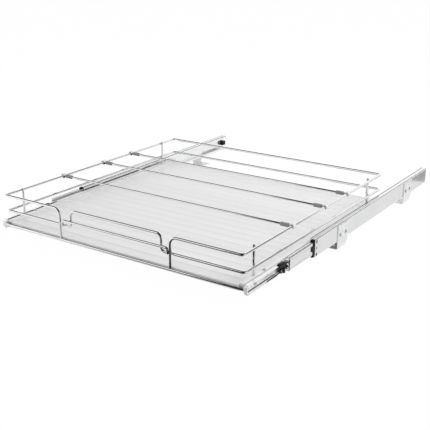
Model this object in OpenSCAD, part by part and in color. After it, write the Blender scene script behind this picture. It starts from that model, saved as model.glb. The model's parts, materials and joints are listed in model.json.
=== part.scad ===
// Pull-out wire basket for a kitchen cabinet.
// A chromed wire basket with a ribbed metal tray rides on two three-part ball-bearing
// slides that stand on the cabinet floor on four angle feet. Three rods clip across the
// basket and slide along its top rails. The slides are drawn partly out.
// X runs to the right, Y runs into the cabinet and Z is up. The origin lies on the floor,
// at the middle of the whole length and width.

/* [Basket frame] */
// Diameter of the basket's wires
wire_d = 5; // [4:0.5:6]
// Width between the centres of the two side wires
basket_w = 530; // [430:10:730]
// Depth between the centres of the front and rear wires
basket_d = 530; // [500:5:560]
// Height from the centre of the bottom front wire to the centre of the top rail
basket_h = 58; // [50:1:90]
// Drop from the top rail to the middle rail
middle_rail_drop = 31.5; // [28:0.5:33]
// Drop from the top rail to the short bar across the front
front_bar_drop = 21; // [18:0.5:22]
// Bend radius at the corners of both rails
corner_r = 5; // [5:1:20]
// Distance between the two front posts
front_post_span = 248; // [240:4:360]
// Bend radius where the top rail turns down into a front post
front_post_r = 13; // [10:1:20]
// Width of the raised stretch of the middle rail
hump_w = 204; // [160:4:212]
// Drop from the top rail to the top of the raised stretch
hump_drop = 1; // [0:0.5:4]
// Bend radius at the two top corners of the raised stretch
hump_top_r = 10; // [8:1:16]
// Bend radius at the two feet of the raised stretch
hump_foot_r = 7.5; // [6:0.5:9]
// Bend radius at the turned-down ends of the front bar
front_bar_r = 5; // [4:0.5:6]
// Distance from the front wire to the front side posts
front_side_post_in = 40; // [30:1:50]
// Distance from the rear wire to the rear side posts
rear_side_post_in = 53; // [40:1:70]
// How far the side posts stand above the centre of the top rail
side_post_rise = 4.5; // [3:0.5:6]

/* [Tray] */
// Thickness of the tray sheet
tray_sheet = 1; // [0.8:0.1:1.5]
// Distance between the tray's cross ribs
rib_pitch = 25; // [15:1:40]
// Height of a cross rib
rib_rise = 0.8; // [0.4:0.1:1.6]
// Width of a cross rib at its foot
rib_foot_w = 12; // [8:1:14]
// Width of a cross rib at its crest
rib_crest_w = 4; // [2:1:6]
// Width of the flat rim along each side of the tray
rim_w = 11; // [9:0.5:16]
// Height of the rim above the tray floor
rim_step = 5; // [3:0.5:8]
// Drop from the top edge of the slide to the rim
rim_drop = 0; // [0:0.5:3]
// Drop from the tray floor to the centre of the bottom front wire
front_wire_drop = 3.8; // [3:0.1:6]
// Height of the turned-down lips at the front and rear of the tray
lip_h = 9; // [7:0.5:12]
// Diameter of the rim screws' shanks
screw_d = 3; // [2.5:0.5:4]
// Distance from the front wire to the rim screws
rim_screw_in = 69; // [60:1:80]
// Diameter of the rivets that join the tray to the slides
tray_rivet_d = 4; // [3:0.5:5]

/* [Slides] */
// Length of a closed slide
slide_l = 550; // [500:10:600]
// Thickness of a slide
slide_t = 12.7; // [12.7:0.1:14]
// Height of the cabinet member of a slide
cabinet_rail_h = 35; // [35:1:45]
// Gap from the side wires' centres to the slide's inner face
slide_gap = 2; // [1:0.5:4]
// Thickness of the slides' steel
rail_sheet = 1.2; // [1:0.1:1.3]
// Diameter of the bearing balls
ball_d = 3.2; // [3:0.1:3.5]
// Running gap between a ball and its race
ball_gap = 0.05; // [0.03:0.01:0.1]
// Thickness of a ball cage's web
cage_web = 0.5; // [0.4:0.1:0.6]
// Running gap between a cage's web and the members beside it
cage_gap = 0.35; // [0.3:0.05:0.4]
// Number of balls in each row
balls_per_row = 8; // [4:1:16]
// How far the middle members are drawn out of the cabinet members
middle_out = 86; // [0:1:200]
// How far the basket members are drawn out of the middle members
basket_out = 133; // [0:1:200]
// Distance from the front of the basket members to the front wire
basket_rail_lead = 3; // [2:1:14]
// Length left behind the moving members for the rear bumpers
bumper_space = 16; // [14:1:30]
// Height of the rear bumpers
bumper_h = 11; // [10:1:18]

/* [Feet] */
// Height of the slides' undersides above the floor
floor_gap = 14.2; // [10:0.1:30]
// Thickness of the feet's steel
foot_sheet = 1.5; // [1.2:0.1:2.5]
// Drop from the top of the cabinet members to the top of the feet
foot_top_drop = 1.8; // [1:0.1:10]
// Width of a foot's upright plate along the slide
foot_plate_w = 42; // [34:1:50]
// Width of a foot's flat sole along the slide
foot_sole_w = 32; // [24:1:34]
// Reach of a foot's sole under the slide
foot_sole_l = 30; // [24:1:34]
// Distance from the front of the cabinet members to the front feet
front_foot_in = 90; // [40:1:120]
// Distance from the front feet to the rear feet
foot_spacing = 325; // [280:1:350]
// Diameter of the floor screw holes
floor_hole_d = 5; // [4:0.5:6]
// Distance from the outer face of a foot to its floor hole
floor_hole_in = 15; // [13:1:17]
// Diameter of the rivets that hold the feet
foot_rivet_d = 4; // [3:0.5:5]
// Distance between the two rivets of a foot
foot_rivet_span = 23; // [18:1:24]

/* [Dividers] */
// Diameter of the divider rods
rod_d = 4.5; // [3.5:0.5:5]
// Distance from the front wire to the front divider
front_divider_in = 157; // [120:1:190]
// Distance from the front wire to the middle divider
middle_divider_in = 279; // [240:1:300]
// Distance from the front wire to the rear divider
rear_divider_in = 371; // [350:1:410]
// Outer diameter of the ring that grips the top rail
clip_ring_d = 10; // [9:0.5:12]
// Length of that ring along the rail
clip_ring_l = 9; // [7:1:12]
// Running gap between the ring and the rail
clip_gap = 0.08; // [0.05:0.01:0.1]
// Width of the slit through which the ring snaps on
clip_slit = 3.6; // [3:0.2:3.8]
// Outer diameter of the sleeve that holds the rod
sleeve_d = 7.6; // [7:0.2:9]
// Length of that sleeve
sleeve_l = 18; // [14:1:26]
// How deep the rod sits in the sleeve
rod_grip = 12; // [8:1:14]

/* [Catches] */
// Distance from the front of a basket member to its catch block
catch_in = 98; // [80:1:110]
// Length of a catch block
catch_l = 23; // [22:1:32]
// Gap between a catch block and the flanges of the middle member around it
catch_gap = 1.3; // [0.5:0.1:2]
// Length of the release lever's finger tail in front of the block
lever_tail = 35; // [20:1:40]
// Thickness of the release lever
lever_t = 3; // [2:0.5:3]
// Diameter of the release lever's pin
lever_pin_d = 3; // [2:0.5:4]
// Running gap between the lever and its pin
lever_gap = 0.06; // [0.03:0.01:0.1]

/* [Hidden] */
$fn = 48;

// Lengths along Y, counted from the front ends of the basket members.
overall_l = slide_l + middle_out + basket_out;
basket_rail_y = -overall_l / 2;
middle_rail_y = basket_rail_y + basket_out;
cabinet_rail_y = middle_rail_y + middle_out;
moving_rail_l = slide_l - bumper_space;
front_y = basket_rail_y + basket_rail_lead;
rear_y = front_y + basket_d;

// Heights of the nested slide members. Each leaves room for one row of balls.
slide_z = floor_gap + cabinet_rail_h / 2;
race = ball_d + 2 * ball_gap;
middle_rail_h = cabinet_rail_h - 2 * (rail_sheet + race);
basket_rail_h = middle_rail_h - 2 * (rail_sheet + race);
outer_ball_z = middle_rail_h / 2 + race / 2;
inner_ball_z = basket_rail_h / 2 + race / 2;

// Distances outwards from the slide's inner face.
slide_x = basket_w / 2 + slide_gap;
cage_room = cage_web + 2 * cage_gap;
cabinet_web_x = slide_t;
middle_web_x = cabinet_web_x - rail_sheet - cage_room;
basket_flange_x = middle_web_x - rail_sheet - cage_room;
flange_edge_x = 1.5;
race_overlap = 1.6;
rail_inner_r = 1.6;
rail_bend_r = rail_sheet + rail_inner_r;
lip_inner_r = 1.4;
lip_bend_r = rail_sheet + lip_inner_r;
lip_tail_h = 3;
groove_depth = 0.4;
groove_w = 1.2;
front_tab_r = rail_sheet + 1.8;
bumper_gap = 2;
cage_strip = 0.8;
outer_ball_x = 6.4;
inner_ball_x = 5;
ball_margin = 8;
retainer_l = 10;
retainer_lead = 4;
retainer_tongue_l = 7;
retainer_tongue_h = 9;
retainer_tongue_low = 3;
cage_front_gap = 7;
cage_back_gap = 14;
cage_front_in = slide_l / 4 + retainer_l + cage_front_gap;
cage_l = moving_rail_l - slide_l / 2 - retainer_l - cage_front_gap - cage_back_gap;
ball_pitch = (cage_l - 2 * ball_margin) / (balls_per_row - 1);

// Tray and wires.
rim_z = slide_z + basket_rail_h / 2 - rim_drop;
floor_z = rim_z - rim_step;
rim_x = slide_x - rim_w;
tray_front = front_y + wire_d / 2;
bottom_wire_z = floor_z - front_wire_drop;
top_rail_z = bottom_wire_z + basket_h;
middle_rail_z = top_rail_z - middle_rail_drop;
front_bar_z = top_rail_z - front_bar_drop;
side_post_x = basket_w / 2 - wire_d;
hump_y = front_y + wire_d;
front_bar_x = front_post_span / 2 - wire_d;
rim_slot_l = 18;
rim_slot_w = 3;
rim_slot_gap = 26.5;
rim_hole_gap = 20;
rim_screw_edge = 4.5;
rim_screw_x = slide_x - rim_screw_edge;
screw_head_d = 5.6;
screw_head_h = 1.4;
screw_l = 7;
rivet_head_h = 0.8;
rivet_head_rim = 1.5;
rivet_dimple_d = 2.2;

// Places along Y of the rivets that join the tray to the basket members.
tray_rivet_shares = [0.06, 0.5, 0.94];
tray_rivet_ys = [for (share = tray_rivet_shares) front_y + share * basket_d];

// Cross ribs of the tray floor.
rib_count = floor((rear_y - tray_front) / rib_pitch) - 1;
first_rib_y = (tray_front + rear_y - (rib_count - 1) * rib_pitch) / 2;

// Feet, with the front edges of the front and rear pairs.
foot_ys = [cabinet_rail_y + front_foot_in, cabinet_rail_y + front_foot_in + foot_spacing];
foot_plate_h = floor_gap + cabinet_rail_h - foot_top_drop;
foot_inner_r = 1.5;
foot_bend_r = foot_sheet + foot_inner_r;
foot_x = slide_x + slide_t + foot_sheet;
foot_notch = 6;
foot_rivet_drop = 4;
foot_rivet_z = slide_z - foot_rivet_drop;
foot_rivet_in = (foot_plate_w - foot_rivet_span) / 2;
retainer_slot_w = 4.6;
retainer_slot_l = 6;
retainer_mid_slot_l = 2.8;
retainer_slot_in = 3.6;
retainer_slot_span = 12;

// Catches.
catch_y = basket_rail_y + catch_in;
catch_stand = 0.5;
catch_x = basket_flange_x + catch_stand;
catch_h = middle_rail_h - 2 * rail_sheet - 2 * catch_gap;
catch_window_gap = 2;
catch_back_l = 6;
catch_split = 1;
catch_root_h = 4.5;
spring_r = 14;
spring_sheet = 1;
spring_w = 4;
spring_angle = 88;
spring_room = 6;
lever_x = 3.9;
lever_pin_in = 8;
lever_pin_drop = 4;
lever_pin_y = catch_y + catch_l - catch_back_l - lever_pin_in;
lever_pin_z = slide_z - lever_pin_drop;
lever_hub_l = 8;
lever_hub_t = lever_t + 1;
lever_tail_h = 1.8;
lever_tip_h = 0.8;
lever_rest_gap = 0.4;
lever_end_gap = 1.5;
pull_slot_in = 73;
pull_slot_w = 2.4;
pull_slot_l = 11;
pull_slot_rise = 3.4;
pull_slot_tilt = 25;

// Divider clips.
sleeve_root = clip_ring_d / 4;

chrome = [0.80, 0.82, 0.84];
zinc = [0.74, 0.75, 0.76];
satin = [0.86, 0.86, 0.86];
black = [0.08, 0.08, 0.09];
grey = [0.42, 0.43, 0.45];

// A round bar from one point to another.
module bar(a, b, d) {
    v = b - a;
    translate(a) rotate([0, acos(v.z / norm(v)), atan2(v.y, v.x)]) cylinder(d = d, h = norm(v));
}

// The bend of a wire at point p, where it comes from a and goes on to b.
module bend(a, p, b, r, d) {
    u = (a - p) / norm(a - p);
    v = (b - p) / norm(b - p);
    open = acos(u * v);
    reach = r / tan(open / 2);
    middle = p + (u + v) * r / sin(open);
    ex = (p + u * reach - middle) / r;
    normal = cross(ex, p + v * reach - middle);
    ez = normal / norm(normal);
    ey = cross(ez, ex);
    multmatrix([
        [ex.x, ey.x, ez.x, middle.x],
        [ex.y, ey.y, ez.y, middle.y],
        [ex.z, ey.z, ez.z, middle.z]
    ]) rotate_extrude(angle = 180 - open) translate([r, 0]) circle(d = d);
}

// How far a bend of radius r reaches along the wire from the corner point i of a path.
function bend_reach(path, i, r) =
    i == 0 || i == len(path) - 1 ? 0
    : let (u = path[i - 1] - path[i], v = path[i + 1] - path[i])
        r / tan(acos(u * v / (norm(u) * norm(v))) / 2);

// A wire bent along a path, with one bend radius for each of its points.
module bent_wire(path, radii, d) {
    for (i = [0 : len(path) - 2]) {
        step = path[i + 1] - path[i];
        along = step / norm(step);
        bar(
            path[i] + along * bend_reach(path, i, radii[i]),
            path[i + 1] - along * bend_reach(path, i + 1, radii[i + 1]), d
        );
    }
    for (i = [1 : len(path) - 2]) bend(path[i - 1], path[i], path[i + 1], radii[i], d);
}

// Draws a right-hand piece, or its mirror image for the left side.
module on_side(side) {
    if (side > 0) children();
    else mirror([1, 0, 0]) children();
}

// A quarter of a tube along Y from the origin, in the quadrant of -X and +Z.
module quarter_bend(r, sheet, length) {
    rotate([-90, 0, 0]) rotate([0, 0, 180]) rotate_extrude(angle = 90)
        translate([r - sheet, 0]) square([sheet, length]);
}

// A rolled channel along Y. Its web's outer face is at x = 0 and its flanges reach
// depth towards +X. With lip > 0 the flanges end in a bend that turns back inwards.
module channel(height, depth, length, lip = 0) {
    translate([0, 0, rail_bend_r - height / 2])
        cube([rail_sheet, length, height - 2 * rail_bend_r]);
    for (end = [0, 1]) mirror([0, 0, end]) {
        translate([rail_bend_r, 0, height / 2 - rail_sheet])
            cube([depth - rail_bend_r - lip, length, rail_sheet]);
        translate([rail_bend_r, 0, height / 2 - rail_bend_r])
            quarter_bend(rail_bend_r, rail_sheet, length);
        if (lip > 0) {
            translate([depth - lip, 0, height / 2 - lip]) mirror([1, 0, 0])
                quarter_bend(lip, rail_sheet, length);
            translate([depth - rail_sheet, 0, height / 2 - lip - lip_tail_h])
                cube([rail_sheet, length, lip_tail_h]);
        }
    }
}

// A rivet or screw hole along X, from x on outwards.
module side_hole(x, y, z, d, depth) {
    translate([x, y, z]) rotate([0, 90, 0]) cylinder(d = d, h = depth);
}

// Places children at both rivets of the foot that starts at y.
module at_foot_rivets(y) {
    for (i = [0, 1]) translate([0, y + foot_rivet_in + i * foot_rivet_span, foot_rivet_z])
        children();
}

module cabinet_rail(side) {
    color(zinc) on_side(side) difference() {
        translate([slide_x + cabinet_web_x, cabinet_rail_y, slide_z]) mirror([1, 0, 0])
            channel(cabinet_rail_h, cabinet_web_x - flange_edge_x, slide_l, lip_bend_r);
        for (y = foot_ys) at_foot_rivets(y)
            side_hole(slide_x + slide_t - 2 * rail_sheet, 0, 0, foot_rivet_d, 3 * rail_sheet);
        for (i = [-1, 0, 1]) {
            slot_h = i == 0 ? retainer_mid_slot_l : retainer_slot_l;
            translate([
                slide_x + slide_t - 2 * rail_sheet,
                cabinet_rail_y + retainer_slot_in,
                slide_z + i * retainer_slot_span - slot_h / 2
            ]) cube([3 * rail_sheet, retainer_slot_w, slot_h]);
        }
    }
}

module foot(side, y) {
    color(zinc) on_side(side) difference() {
        union() {
            translate([foot_x - foot_sheet, y, foot_bend_r])
                cube([foot_sheet, foot_plate_w, foot_plate_h - foot_bend_r]);
            translate([foot_x - foot_bend_r, y, foot_bend_r]) mirror([1, 0, 0]) mirror([0, 0, 1])
                quarter_bend(foot_bend_r, foot_sheet, foot_sole_w);
            translate([foot_x - foot_sole_l, y, 0])
                cube([foot_sole_l - foot_bend_r, foot_sole_w, foot_sheet]);
        }
        at_foot_rivets(y) side_hole(foot_x - 2 * foot_sheet, 0, 0, foot_rivet_d, 3 * foot_sheet);
        translate([foot_x - 2 * foot_sheet, y + foot_plate_w, foot_bend_r])
            rotate([45, 0, 0]) translate([0, -foot_notch, -foot_notch])
            cube([3 * foot_sheet, 2 * foot_notch, 2 * foot_notch]);
        translate([foot_x - floor_hole_in, y + foot_sole_w / 2, -foot_sheet])
            cylinder(d = floor_hole_d, h = 3 * foot_sheet);
    }
}

module foot_rivets() {
    grip = rail_sheet + foot_sheet;
    color(zinc) for (side = [-1, 1], y = foot_ys) on_side(side) at_foot_rivets(y) difference() {
        union() {
            side_hole(foot_x - grip, 0, 0, foot_rivet_d, grip);
            side_hole(foot_x, 0, 0, foot_rivet_d + 2 * rivet_head_rim, rivet_head_h);
        }
        side_hole(foot_x - grip / 2, 0, 0, rivet_dimple_d, grip);
    }
}

module rear_bumper(side) {
    color(black) on_side(side)
        translate([
            slide_x + flange_edge_x + rail_sheet,
            cabinet_rail_y + slide_l - bumper_space + bumper_gap,
            slide_z - bumper_h / 2
        ])
        cube([
            slide_t - flange_edge_x - 2 * rail_sheet, bumper_space - 2 * bumper_gap, bumper_h
        ]);
}

// A C-shaped liner in the mouth of the cabinet member, clear of the middle member. It
// stands a little out of the mouth, and a thin tongue reaches further along the web.
module front_retainer(side) {
    web_in = cabinet_web_x - rail_sheet;
    flange_in = cabinet_rail_h / 2 - rail_sheet;
    low = middle_rail_h / 2 + cage_gap;
    edge = outer_ball_x - ball_d / 2;
    long = retainer_lead + retainer_l;
    pad = web_in - middle_web_x - cage_gap;
    color(black) on_side(side) translate([slide_x, cabinet_rail_y - retainer_lead, slide_z]) {
        translate([middle_web_x + cage_gap, -retainer_tongue_l, -retainer_tongue_low])
            cube([pad, 2 * retainer_tongue_l, retainer_tongue_h]);
        for (end = [0, 1]) mirror([0, 0, end]) {
            translate([middle_web_x + cage_gap, 0, 0])
                cube([pad, long, flange_in - rail_inner_r]);
            translate([edge, 0, low])
                cube([web_in - rail_inner_r - edge, long, flange_in - low]);
            translate([web_in - rail_inner_r, 0, low])
                cube([rail_inner_r, long, flange_in - rail_inner_r - low]);
        }
    }
}

module middle_rail(side) {
    color(zinc) on_side(side) translate([slide_x + middle_web_x, middle_rail_y, slide_z])
        mirror([1, 0, 0]) difference() {
            channel(middle_rail_h, middle_web_x - flange_edge_x - race_overlap, moving_rail_l);
            for (end = [0, 1]) mirror([0, 0, end])
                translate([-groove_depth, -1, middle_rail_h / 4])
                cube([2 * groove_depth, moving_rail_l + 2, groove_w]);
        }
}

// A ball cage: a thin web with a perforated strip above and below it.
module ball_cage(side, rail_y, out, web_x, ball_x, ball_z) {
    y = rail_y + cage_front_in - out / 2;
    edge = ball_x - ball_d / 2 - cage_strip;
    color(grey) on_side(side) translate([slide_x, y, slide_z]) difference() {
        union() {
            translate([web_x, 0, -ball_z - cage_strip / 2])
                cube([cage_web, cage_l, 2 * ball_z + cage_strip]);
            for (end = [-1, 1]) translate([edge, 0, end * ball_z - cage_strip / 2])
                cube([web_x - edge, cage_l, cage_strip]);
        }
        for (i = [0 : balls_per_row - 1])
            translate([ball_x, ball_margin + i * ball_pitch, -ball_z - cage_strip])
            cylinder(d = ball_d + 2 * ball_gap, h = 2 * (ball_z + cage_strip));
    }
}

module ball_rows(side, rail_y, out, ball_x, ball_z) {
    y = rail_y + cage_front_in - out / 2;
    color(chrome) on_side(side) for (i = [0 : balls_per_row - 1], end = [-1, 1])
        translate([slide_x + ball_x, y + ball_margin + i * ball_pitch, slide_z + end * ball_z])
        sphere(d = ball_d);
}

module outer_ball_cage(side) {
    ball_cage(side, cabinet_rail_y, middle_out, middle_web_x + cage_gap, outer_ball_x, outer_ball_z);
}

module inner_ball_cage(side) {
    ball_cage(side, middle_rail_y, basket_out, basket_flange_x + cage_gap,
        inner_ball_x, inner_ball_z);
}

module outer_balls(side) {
    ball_rows(side, cabinet_rail_y, middle_out, outer_ball_x, outer_ball_z);
}

module inner_balls(side) {
    ball_rows(side, middle_rail_y, basket_out, inner_ball_x, inner_ball_z);
}

module basket_rail(side) {
    tab_h = basket_rail_h - 2 * rail_bend_r;
    color(zinc) on_side(side) translate([slide_x, basket_rail_y, slide_z]) difference() {
        union() {
            translate([0, front_tab_r, 0])
                channel(basket_rail_h, basket_flange_x, moving_rail_l - front_tab_r);
            translate([front_tab_r, front_tab_r, -tab_h / 2]) rotate([0, 0, 180])
                rotate_extrude(angle = 90)
                translate([front_tab_r - rail_sheet, 0]) square([rail_sheet, tab_h]);
            translate([front_tab_r, 0, -tab_h / 2])
                cube([basket_flange_x - front_tab_r, rail_sheet, tab_h]);
        }
        // Windows in both flanges for the catch block and the release lever.
        translate([rail_bend_r, catch_in - catch_window_gap, -basket_rail_h])
            cube([slide_t, catch_l + 2 * catch_window_gap + spring_room, 2 * basket_rail_h]);
        for (y = tray_rivet_ys) side_hole(
            -rail_sheet, y - basket_rail_y, 0, tray_rivet_d, 3 * rail_sheet
        );
        // Hooked slot near the front of the web.
        translate([-rail_sheet, pull_slot_in, 0]) rotate([0, 90, 0])
            cylinder(d = pull_slot_w, h = 3 * rail_sheet);
        translate([-rail_sheet, pull_slot_in - pull_slot_w / 2, 0])
            cube([3 * rail_sheet, pull_slot_w, pull_slot_rise]);
        translate([-rail_sheet, pull_slot_in, 0]) rotate([pull_slot_tilt, 0, 0])
            translate([0, -pull_slot_l, -pull_slot_w / 2])
            cube([3 * rail_sheet, pull_slot_l, pull_slot_w]);
    }
}

// Outline of the tray floor's ribs at height z, from front to rear.
function rib_line(z) = [
    for (i = [0 : rib_count - 1]) let (y = first_rib_y + i * rib_pitch) each [
        [y - rib_foot_w / 2, z],
        [y - rib_crest_w / 2, z + rib_rise],
        [y + rib_crest_w / 2, z + rib_rise],
        [y + rib_foot_w / 2, z]
    ]
];
function reversed(list) = [for (i = [len(list) - 1 : -1 : 0]) list[i]];

module tray_floor() {
    low = floor_z - tray_sheet;
    rotate([90, 0, 90]) linear_extrude(2 * rim_x, center = true) polygon(concat(
        [[tray_front, low], [tray_front, floor_z]], rib_line(floor_z),
        [[rear_y, floor_z], [rear_y, low]], reversed(rib_line(low))
    ));
}

// The folded side of the tray: inner step, flat rim and outer wall.
module tray_side() {
    foot = slide_z - basket_rail_h / 2;
    translate([0, rear_y, 0]) rotate([90, 0, 0]) linear_extrude(rear_y - tray_front) polygon([
        [rim_x, floor_z - tray_sheet], [rim_x + tray_sheet, floor_z - tray_sheet],
        [rim_x + tray_sheet, rim_z - tray_sheet], [slide_x - tray_sheet, rim_z - tray_sheet],
        [slide_x - tray_sheet, foot], [slide_x, foot], [slide_x, rim_z], [rim_x, rim_z]
    ]);
}

module tray() {
    color(satin) difference() {
        union() {
            tray_floor();
            for (y = [tray_front, rear_y - tray_sheet])
                translate([-rim_x, y, floor_z - lip_h])
                cube([2 * rim_x, tray_sheet, lip_h - tray_sheet]);
            for (side = [-1, 1]) on_side(side) tray_side();
        }
        for (side = [-1, 1]) on_side(side) {
            translate([rim_screw_x, front_y + rim_screw_in, rim_z - 2 * tray_sheet])
                cylinder(d = screw_d, h = 3 * tray_sheet);
            // Slot and small hole in the rim ahead of the rear side post.
            translate([side_post_x, rear_y - rear_side_post_in, rim_z - 2 * tray_sheet]) {
                translate([-rim_slot_w / 2, -rim_slot_gap - rim_slot_l, 0])
                    cube([rim_slot_w, rim_slot_l, 3 * tray_sheet]);
                translate([0, -rim_hole_gap, 0]) cylinder(d = rim_slot_w, h = 3 * tray_sheet);
            }
            for (y = tray_rivet_ys)
                side_hole(slide_x - 2 * tray_sheet, y, slide_z, tray_rivet_d, 3 * tray_sheet);
        }
    }
}

module rim_screws() {
    color(zinc) for (side = [-1, 1]) on_side(side)
        translate([rim_screw_x, front_y + rim_screw_in, rim_z]) {
            cylinder(d = screw_head_d, h = screw_head_h);
            translate([0, 0, screw_head_h - screw_l])
                cylinder(d = screw_d, h = screw_l - screw_head_h);
        }
}

module tray_rivets() {
    grip = tray_sheet + rail_sheet;
    head_d = tray_rivet_d + 2 * rivet_head_rim;
    color(zinc) for (side = [-1, 1], y = tray_rivet_ys) on_side(side) {
        side_hole(slide_x - tray_sheet, y, slide_z, tray_rivet_d, grip);
        side_hole(slide_x + rail_sheet, y, slide_z, head_d, rivet_head_h);
        side_hole(slide_x - tray_sheet - rivet_head_h, y, slide_z, head_d, rivet_head_h);
    }
}

// The top rail starts on the bottom wire as one front post, runs round the basket and
// comes down again as the other post.
module top_rail_wire() {
    post_x = front_post_span / 2;
    side_x = basket_w / 2;
    post_foot_z = bottom_wire_z + wire_d / 2;
    color(chrome) bent_wire(
        [
            [-post_x, front_y, post_foot_z], [-post_x, front_y, top_rail_z],
            [-side_x, front_y, top_rail_z], [-side_x, rear_y, top_rail_z],
            [side_x, rear_y, top_rail_z], [side_x, front_y, top_rail_z],
            [post_x, front_y, top_rail_z], [post_x, front_y, post_foot_z]
        ],
        [0, front_post_r, corner_r, corner_r, corner_r, corner_r, front_post_r, 0], wire_d
    );
}

// The middle rail is a closed loop. Its front stretch passes behind the front posts and
// rises almost to the height of the top rail between them.
module middle_rail_wire() {
    side_x = basket_w / 2;
    hump_x = hump_w / 2;
    low = middle_rail_z;
    high = top_rail_z - hump_drop;
    color(chrome) bent_wire(
        [
            [0, rear_y, low], [-side_x, rear_y, low], [-side_x, hump_y, low],
            [-hump_x, hump_y, low], [-hump_x, hump_y, high],
            [hump_x, hump_y, high], [hump_x, hump_y, low],
            [side_x, hump_y, low], [side_x, rear_y, low], [0, rear_y, low]
        ],
        [
            0, corner_r, corner_r, hump_foot_r, hump_top_r,
            hump_top_r, hump_foot_r, corner_r, corner_r, 0
        ], wire_d
    );
}

module front_bar_wire() {
    low = middle_rail_z;
    color(chrome) bent_wire(
        [
            [-front_bar_x, front_y, low], [-front_bar_x, front_y, front_bar_z],
            [front_bar_x, front_y, front_bar_z], [front_bar_x, front_y, low]
        ],
        [0, front_bar_r, front_bar_r, 0], wire_d
    );
}

module bottom_front_wire() {
    color(chrome) bar(
        [-slide_x, front_y, bottom_wire_z], [slide_x, front_y, bottom_wire_z], wire_d
    );
}

module side_post(side, y) {
    color(chrome) on_side(side)
        bar([side_post_x, y, rim_z], [side_post_x, y, top_rail_z + side_post_rise], wire_d);
}

// The catch block fills the upper half of its window and closes its rear.
module catch_block(side) {
    color(black) on_side(side) translate([slide_x + rail_sheet, catch_y, slide_z]) {
        translate([0, 0, catch_split]) cube([rail_inner_r, catch_l, catch_root_h]);
        translate([rail_inner_r, 0, catch_split])
            cube([catch_x - rail_bend_r, catch_l, catch_h / 2 - catch_split]);
        translate([rail_inner_r, catch_l - catch_back_l, -catch_h / 2])
            cube([catch_x - rail_bend_r, catch_back_l, catch_h / 2 + catch_split]);
    }
}

// A bowed strip behind the catch block.
module catch_spring(side) {
    color(chrome) on_side(side) translate([
        slide_x + rail_bend_r, catch_y + catch_l + spring_r, slide_z
    ]) rotate([90, 0, 90]) rotate([0, 0, 180 - spring_angle / 2])
        rotate_extrude(angle = spring_angle) translate([spring_r - spring_sheet, 0])
        square([spring_sheet, spring_w]);
}

// The release lever turns on its pin below the catch block. Its tail reaches forwards
// along the lower flange, where a finger lifts it.
module release_lever(side) {
    tail_z = slide_z - basket_rail_h / 2 + rail_sheet + lever_rest_gap;
    tail_y = catch_y - lever_tail;
    hub_front = lever_pin_y - lever_hub_l;
    hub_back = catch_y + catch_l - catch_back_l - lever_end_gap;
    hub_z = slide_z - catch_h / 2 + lever_end_gap;
    color(black) on_side(side) difference() {
        union() {
            translate([slide_x + lever_x, 0, tail_z]) rotate([90, 0, 90]) linear_extrude(lever_t)
                polygon([
                    [tail_y, 0], [hub_back, 0], [hub_back, lever_tail_h],
                    [catch_y, lever_tail_h], [tail_y, lever_tip_h]
                ]);
            translate([slide_x + lever_x, hub_front, hub_z])
                cube([lever_hub_t, hub_back - hub_front, slide_z - catch_split - hub_z]);
        }
        side_hole(slide_x, lever_pin_y, lever_pin_z, lever_pin_d + 2 * lever_gap, slide_t);
    }
}

module lever_pins() {
    color(zinc) for (side = [-1, 1]) on_side(side)
        side_hole(slide_x + rail_sheet, lever_pin_y, lever_pin_z, lever_pin_d,
            catch_x - rail_sheet);
}

// A divider rod, held at each end in a clip that grips the top rail.
module divider_rod(inset) {
    reach = basket_w / 2 - clip_ring_d / 2 - sleeve_l + rod_grip;
    color(chrome) bar(
        [-reach, front_y + inset, top_rail_z], [reach, front_y + inset, top_rail_z], rod_d
    );
}

module divider_clip(side, inset) {
    sleeve_end = basket_w / 2 - clip_ring_d / 2 - sleeve_l;
    bore_d = wire_d + 2 * clip_gap;
    color(grey) on_side(side) translate([0, front_y + inset, top_rail_z]) difference() {
        union() {
            translate([basket_w / 2, clip_ring_l / 2, 0]) rotate([90, 0, 0])
                cylinder(d = clip_ring_d, h = clip_ring_l);
            side_hole(sleeve_end, 0, 0, sleeve_d, sleeve_l + sleeve_root);
        }
        translate([basket_w / 2, clip_ring_l, 0]) rotate([90, 0, 0])
            cylinder(d = bore_d, h = 2 * clip_ring_l);
        translate([basket_w / 2 - clip_slit / 2, -clip_ring_l, -clip_ring_d])
            cube([clip_slit, 2 * clip_ring_l, clip_ring_d]);
        side_hole(sleeve_end - 1, 0, 0, rod_d, rod_grip + 1);
    }
}

cabinet_rail(-1);  // left_cabinet_rail
cabinet_rail(1);  // right_cabinet_rail
foot(-1, foot_ys[0]);  // left_front_foot
foot(-1, foot_ys[1]);  // left_rear_foot
foot(1, foot_ys[0]);  // right_front_foot
foot(1, foot_ys[1]);  // right_rear_foot
foot_rivets();
rear_bumper(-1);  // left_rear_bumper
rear_bumper(1);  // right_rear_bumper
front_retainer(-1);  // left_front_retainer
front_retainer(1);  // right_front_retainer
middle_rail(-1);  // left_middle_rail
middle_rail(1);  // right_middle_rail
outer_ball_cage(-1);  // left_outer_ball_cage
outer_ball_cage(1);  // right_outer_ball_cage
inner_ball_cage(-1);  // left_inner_ball_cage
inner_ball_cage(1);  // right_inner_ball_cage
outer_balls(-1);  // left_outer_balls
outer_balls(1);  // right_outer_balls
inner_balls(-1);  // left_inner_balls
inner_balls(1);  // right_inner_balls
basket_rail(-1);  // left_basket_rail
basket_rail(1);  // right_basket_rail
tray();
rim_screws();
tray_rivets();
top_rail_wire();
middle_rail_wire();
front_bar_wire();
bottom_front_wire();
side_post(-1, front_y + front_side_post_in);  // left_front_post
side_post(-1, rear_y - rear_side_post_in);  // left_rear_post
side_post(1, front_y + front_side_post_in);  // right_front_post
side_post(1, rear_y - rear_side_post_in);  // right_rear_post
catch_block(-1);  // left_catch_block
catch_block(1);  // right_catch_block
catch_spring(-1);  // left_catch_spring
catch_spring(1);  // right_catch_spring
release_lever(-1);  // left_release_lever
release_lever(1);  // right_release_lever
lever_pins();
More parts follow.
